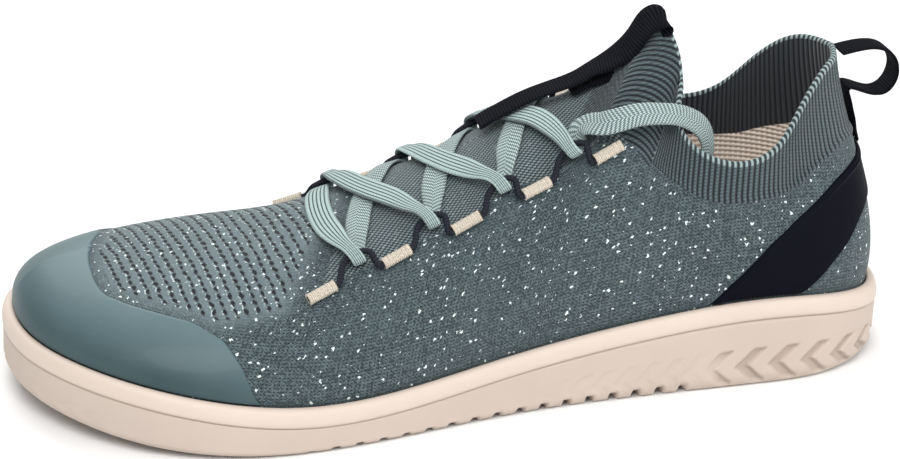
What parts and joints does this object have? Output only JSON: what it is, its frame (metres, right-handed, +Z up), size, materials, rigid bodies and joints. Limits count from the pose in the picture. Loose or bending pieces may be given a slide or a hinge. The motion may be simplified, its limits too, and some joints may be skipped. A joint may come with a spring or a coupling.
{
  "type": "barefoot shoe",
  "caption": "Low knitted barefoot shoe for the left foot, with a thin wide cup sole, smooth toe film, heel band, flat lace through elastic cords, and pull loops at heel and tongue.",
  "frame": {"origin": "middle of the shoe's plan box on the ground, measured without the free lace end", "axes": "+X towards the toe, +Y towards the outer (lateral) side, +Z up"},
  "size_m": [0.287, 0.1064, 0.1203],
  "materials": {
    "sole_rubber": "pale beige moulded rubber, matt",
    "rim_rubber": "paler beige smooth moulded rim, satin",
    "lining": "cream mesh lining",
    "knit": "slate teal knit with white flecks and dark open holes",
    "toe_film": "smooth teal film welded on the knit, satin",
    "dark_trim": "navy black ribbed webbing and smooth band",
    "lace_braid": "pale mint flat braid with dark stripes on one face",
    "elastic_cord": "navy black round elastic cord",
    "thread": "cream wrapped thread"
  },
  "bodies": {
    "root": {"outsole": "sole_rubber", "midsole": "rim_rubber", "insole": "lining", "upper": "knit", "toe_film": "toe_film", "heel_band": "dark_trim", "heel_pull_loop": "dark_trim", "tongue_pull_loop": "dark_trim", "lace": "lace_braid", "lace_end": "lace_braid", "lace_cord_lateral": "elastic_cord", "lace_cord_medial": "elastic_cord", "cord_tunnel_lateral_1": "thread", "cord_tunnel_lateral_2": "thread", "cord_tunnel_lateral_3": "thread", "cord_tunnel_lateral_4": "thread", "cord_tunnel_lateral_5": "thread", "cord_tunnel_medial_1": "thread", "cord_tunnel_medial_2": "thread", "cord_tunnel_medial_3": "thread", "cord_tunnel_medial_4": "thread", "cord_tunnel_medial_5": "thread"}
  },
  "joints": []
}
